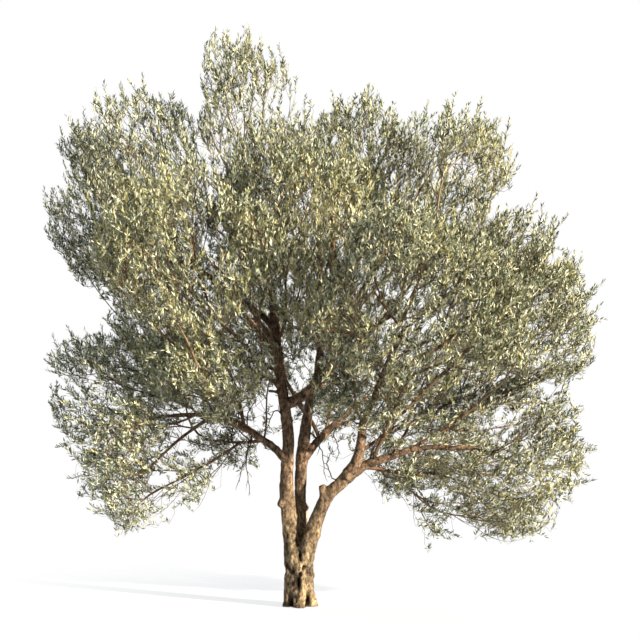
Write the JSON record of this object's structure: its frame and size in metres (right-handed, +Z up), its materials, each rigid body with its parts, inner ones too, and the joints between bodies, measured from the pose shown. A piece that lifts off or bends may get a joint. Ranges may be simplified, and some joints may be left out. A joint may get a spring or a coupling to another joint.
{
  "type": "olive tree",
  "caption": "Mature olive tree: short lobed trunk with root flare, three stems, arching boughs and a broad, uneven, grey-green crown, open between its masses of foliage",
  "frame": {"origin": "on the ground, in the middle of the flat cut under the trunk", "axes": "+Z up, the front of the tree faces -Y, and its right side seen from the front is +X"},
  "size_m": [5.5856, 4.6054, 5.7545],
  "materials": {
    "bark": "rough grey-brown bark, warmer on the stems",
    "foliage": "matt grey-green leaves with paler undersides"
  },
  "bodies": {
    "root": {"trunk": "bark", "left_stem": "bark", "middle_stem": "bark", "right_stem": "bark", "left_bough": "bark", "left_bough_end": "bark", "left_lower_bough": "bark", "crossing_bough": "bark", "right_bough": "bark", "right_bough_end": "bark", "middle_right_bough": "bark", "left_high_bough": "bark", "back_left_bough": "bark", "left_reaching_bough": "bark", "front_left_bough": "bark", "back_top_bough": "bark", "back_right_bough": "bark", "upper_right_bough": "bark", "upper_middle_bough": "bark", "right_reaching_bough": "bark", "front_right_bough": "bark", "top_centre_mass": "foliage", "top_left_mass": "foliage", "left_upper_mass": "foliage", "left_front_mass": "foliage", "left_lower_mass": "foliage", "left_inner_mass": "foliage", "inner_left_mass": "foliage", "inner_right_mass": "foliage", "left_hanging_mass": "foliage", "centre_mass": "foliage", "upper_centre_mass": "foliage", "top_right_mass": "foliage", "right_upper_mass": "foliage", "right_middle_mass": "foliage", "right_lower_mass": "foliage", "right_inner_mass": "foliage", "right_near_mass": "foliage", "middle_mass": "foliage", "right_hanging_mass": "foliage", "right_front_mass": "foliage", "back_left_mass": "foliage", "back_centre_mass": "foliage", "back_right_mass": "foliage", "back_top_mass": "foliage"}
  },
  "joints": []
}
